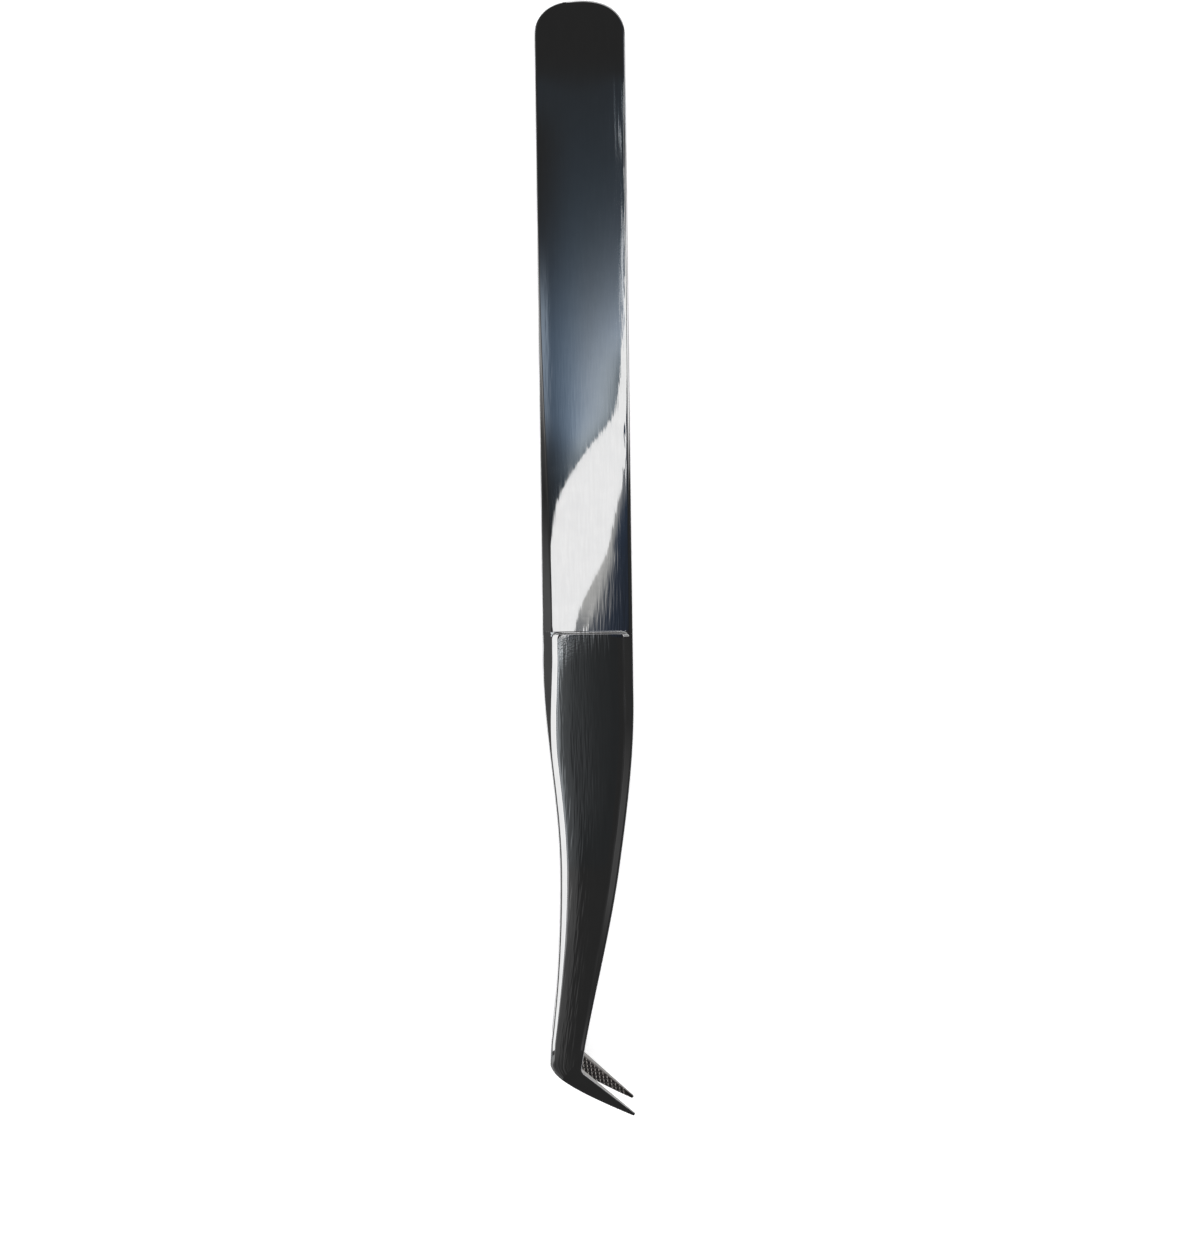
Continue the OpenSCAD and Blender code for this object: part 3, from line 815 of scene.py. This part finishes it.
edgeGlow = {"level": 0.46, "x": -58, "run": -14, "s": -52, "reach": 20, "colour": (0.86, 1, 1.16)}
glowX, glowS = cardGrid(glowForm)
pastBright = glowS - coldForm["brightS"]
coldReach = coldForm["narrow"] + (coldForm["wide"] - coldForm["narrow"]) * ease(-pastBright / coldForm["run"])
cold = coldForm["level"] * np.exp(np.minimum(pastBright, 0) / coldForm["fall"])
cold = cold * (1 - coldForm["fade"] * ease(pastBright / coldForm["fadeS"]))
cold = cold * np.exp(np.clip(glowX, coldForm["lowX"], coldForm["highX"]) / coldReach)
power = -coldForm["capPower"]
cold = (np.maximum(cold, coldForm["least"]) ** power + coldForm["cap"] ** power) ** (1 / power)
toWindow = np.clip(chain(windowLeft, glowS) - glowX, 0, None)
nearBand = ease((glowS - fringeForm["s"]) / fringeForm["run"])
cold = cold * (1 - fringeForm["share"] * nearBand * np.exp(-toWindow / fringeForm["reach"]))
slow = slowForm["level"] * np.exp(np.minimum(pastBright, 0) / slowForm["fall"])
slow = slow * ease((glowX - slowForm["fromX"]) / slowForm["run"])
slow = slow * ease((glowS - slowForm["tailS"]) / slowForm["tailRun"])
toRight = ease((glowX - glowForm["leftX"]) / glowForm["leftRun"])
coldColour = lit(1 - toRight, glowForm["leftColour"]) + lit(toRight, glowForm["colour"])
tinted = nearBand * np.exp(-(toWindow / fringeForm["tintReach"]) ** 2)
coldColour = coldColour + lit(tinted, np.array(fringeForm["tint"]) - coldColour)
atEdge = edgeGlow["level"] * ease((glowX - edgeGlow["x"]) / edgeGlow["run"])
atEdge = atEdge * np.exp(-((glowS - edgeGlow["s"]) / edgeGlow["reach"]) ** 2)
coldLight = lit(cold, coldColour) + lit(slow, slowForm["colour"]) + lit(atEdge, edgeGlow["colour"])

# On its right: grey light beside the window that fades into navy
greyForm = {"level": 1, "dimLevel": 0.4, "rise": 0.024, "fromS": -10, "width": 8, "widest": 36, "widen": 1.25,
            "widenS": 13, "power": 2.6, "shade": 0.6, "shadeS": 35, "shadeRun": 10,
            "colour": (0.96, 0.93, 0.85)}
navyForm = {"level": 0.072, "reach": 42, "widen": 2.4, "widenS": 15, "widenRun": 25, "base": 0.035,
            "colour": (0.45, 0.85, 1.65)}
past = np.clip(glowX - chain(windowRight, glowS), 0, None)
greyWidth = greyForm["width"] + greyForm["widen"] * (glowS - greyForm["widenS"])
greyWidth = np.clip(greyWidth, greyForm["width"], greyForm["widest"])
greyLevel = greyForm["dimLevel"] + greyForm["rise"] * (glowS - greyForm["fromS"])
greyLevel = np.clip(greyLevel, 0, greyForm["level"])
greyLevel = greyLevel * (1 - greyForm["shade"] * ease((glowS - greyForm["shadeS"]) / greyForm["shadeRun"]))
grey = greyLevel * np.exp(-(past / greyWidth) ** greyForm["power"])
navyReach = np.clip(glowS - navyForm["widenS"], 0, navyForm["widenRun"])
navyReach = navyForm["reach"] + navyForm["widen"] * navyReach
navy = navyForm["level"] * np.exp(-(past / navyReach) ** 2)
greyLight = lit(grey, greyForm["colour"]) + lit(navy, navyForm["colour"]) + navyForm["base"]
onLeft = glowX < chain(windowLeft, glowS) + glowForm["seam"]
glow = np.where(onLeft[..., None], coldLight + glowForm["base"], greyLight)
lightCard("glowCard", overArm(glowX, glowS, glowForm["height"]), glow)

# Over the grip and neck: dark, brighter to the left, and brightest over the grip's first corner
padForm = {"height": 600, "fromX": -420, "toX": 60, "fromS": 76, "toS": 700, "cells": 240,
           "neckS": 160, "neckRun": 40, "neckShift": 18, "fadeS": 420, "fadeRun": 250,
           "tint": (0.94, 1, 1.04), "tintS": 240, "tintRun": 60}
padRows = [(-110, 0.6, 0), (-92, 0.5, -0.01), (-62, 0.18, -0.002), (-29, 0.15, -0.001), (-7, 0.11, -0.004),
           (6, 0.063, -0.001), (30, 0.055, 0)]
cornerGlow = {"level": 0.5, "x": -16, "fall": 8, "reach": 7}
shoulderGlow = {"level": 1.1, "x": -52, "run": -20, "reach": 13}
padX, padS = cardGrid(padForm)
padLevel = chain(padRows, padX + padForm["neckShift"] * ease((padS - padForm["neckS"]) / padForm["neckRun"]))
nearStep = np.exp(-((padS - padForm["fromS"]) / cornerGlow["reach"]) ** 2)
pastCorner = np.clip(padX - cornerGlow["x"], 0, None)
padLevel += cornerGlow["level"] * nearStep * np.exp(-pastCorner / cornerGlow["fall"])
nearStep = np.exp(-((padS - padForm["fromS"]) / shoulderGlow["reach"]) ** 2)
padLevel += shoulderGlow["level"] * nearStep * ease((padX - shoulderGlow["x"]) / shoulderGlow["run"])
fadeOut = ease((padS - padForm["fadeS"]) / padForm["fadeRun"])
padLevel = padLevel + (padRows[-1][1] - padLevel) * fadeOut
tinted = ease((padForm["tintS"] - padS) / padForm["tintRun"])
padColour = 1 + lit(tinted, np.array(padForm["tint"]) - 1)
lightCard("padCard", overArm(padX, padS, padForm["height"]), lit(padLevel, padColour))

# Upright cards, as (s, level) at an x: on the left a long softbox for the flank, lower past the tail, and one
# for the bevel; on the right one each for the bevel, the rim and the flank. And as (x, level) at an s, one
# beyond the tail for the step's line, brighter and lower on the left
sideRows = [(-500, 2.4), (-290, 2.4), (-250, 2.4), (640, 2.4)]
sideTops = [100, 100, 310, 310]
leftBevelRows = [
    (-110, 0.147), (-100, 0.7), (-36, 0.7), (-29, 0.35), (-14, 0.13), (7, 0.06), (17, 0.094), (28, 0.16),
    (38, 0.21), (60, 0.21), (72, 0.18), (100, 0.147),
]
rightBevelRows = [
    (-260, 0.9), (-195, 0.9), (-183, 0.3), (-166, 0.3), (-149, 0.8), (-128, 1.5), (-103, 2.3), (-30, 2.3),
    (-22, 1), (-10, 0.07),
]
rightRimRows = [
    (-175, 0.067), (-160, 1.8), (-135, 1.8), (-120, 0.6), (-110, 0.15), (-100, 0.15), (-92, 0.5), (-84, 0.9),
    (-62, 0.9), (-30, 0.9), (-18, 0.4), (-8, 0.067),
]
rightFlankRows = [(120, 0.067), (200, 0.15), (330, 0.15), (420, 0.067)]
tailRows = [(-420, 2.4), (-60, 2.4), (-25, 2.3), (-8, 1.6), (6, 0.8), (40, 1), (700, 1)]
tailTops = [150, 150, 520, 520, 520, 520, 520]
uprightForms = {
    "sideCard": {"x": -420, "h": (30, sideTops), "rows": sideRows},
    "rightBevelCard": {"x": 420, "h": (330, 620), "rows": rightBevelRows},
    "rightRimCard": {"x": 420, "h": (2, 330), "rows": rightRimRows},
    "leftBevelCard": {"x": -420, "h": (380, 620), "rows": leftBevelRows},
    "rightFlankCard": {"x": 420, "h": (80, 330), "rows": rightFlankRows},
    "tailCard": {"s": -500, "h": (2, tailTops), "rows": tailRows},
}
for name, form in uprightForms.items():
    place, level = np.transpose(form["rows"])
    heights = np.array([np.broadcast_to(h, len(place)) for h in form["h"]])
    points = overArm(form.get("x", place), form.get("s", place), heights)
    lightCard(name, points, lit(np.array([level, level]), (1, 1, 1)))

# Soft studio light for the floor, kept out of the steel's reflections
fillForm = {"size": 0.9, "height": 0.8, "power": 5}
fill = bpy.data.objects.new("fillLight", bpy.data.lights.new("fillLight", "AREA"))
fill.data.size = fillForm["size"]
fill.data.energy = fillForm["power"]
fill.location = (0, 0, fillForm["height"])
fill.visible_glossy = False
scene.collection.objects.link(fill)

# Pale floor that the lower arm lies on
floorForm = {"half": 1.5, "colour": (0.9, 0.9, 0.9, 1), "rough": 0.9, "glow": 0.7}
floorMesh = bpy.data.meshes.new("floor")
side = floorForm["half"]
floorCorners = [(-side, -side, 0), (side, -side, 0), (side, side, 0), (-side, side, 0)]
floorMesh.from_pydata(floorCorners, [], [(0, 1, 2, 3)])
floor = bpy.data.objects.new("floor", floorMesh)
scene.collection.objects.link(floor)
floorPaint = bpy.data.materials.new("floorPaint")
floorPaint.use_nodes = True
floorShader = floorPaint.node_tree.nodes["Principled BSDF"]
floorShader.inputs["Base Color"].default_value = floorForm["colour"]
floorShader.inputs["Roughness"].default_value = floorForm["rough"]
floorShader.inputs["Emission Color"].default_value = floorForm["colour"]
floorShader.inputs["Emission Strength"].default_value = floorForm["glow"]
floorMesh.materials.append(floorPaint)

# Dim studio: dark overhead, a little paler to the sides, and a pale backdrop for the camera
worldForm = {"dim": 0.055, "left": 0.16, "right": 0.012, "sideFrom": 0.25, "sideTo": 1, "backdrop": 0.95}
world = bpy.data.worlds.new("studio")
scene.world = world
world.use_nodes = True
sky = world.node_tree
background = sky.nodes["Background"]
direction = sky.nodes.new("ShaderNodeTexCoord")
parts = addNode(sky, "ShaderNodeSeparateXYZ", Vector=direction.outputs["Generated"])


def sideLevel(sign, level):
    # grows from nothing to the level towards one side
    ramp = addNode(sky, "ShaderNodeMapRange", Value=parts.outputs["X"], To_Min=0, To_Max=level * studioGain,
                   From_Min=sign * worldForm["sideFrom"], From_Max=sign * worldForm["sideTo"])
    return ramp.outputs[0]


sides = maths(sky, "ADD", sideLevel(-1, worldForm["left"]), sideLevel(1, worldForm["right"]))
level = maths(sky, "ADD", sides, worldForm["dim"] * studioGain)
path = sky.nodes.new("ShaderNodeLightPath")
seen = sky.nodes.new("ShaderNodeMix")
for place, value in ((0, path.outputs["Is Camera Ray"]), (2, level), (3, worldForm["backdrop"])):
    feed(sky, seen.inputs[place], value)
sky.links.new(seen.outputs[0], background.inputs["Strength"])
background.inputs["Color"].default_value = (1, 1, 1, 1)
scene.view_settings.view_transform = "Standard"
print("camera, lights and floor placed")
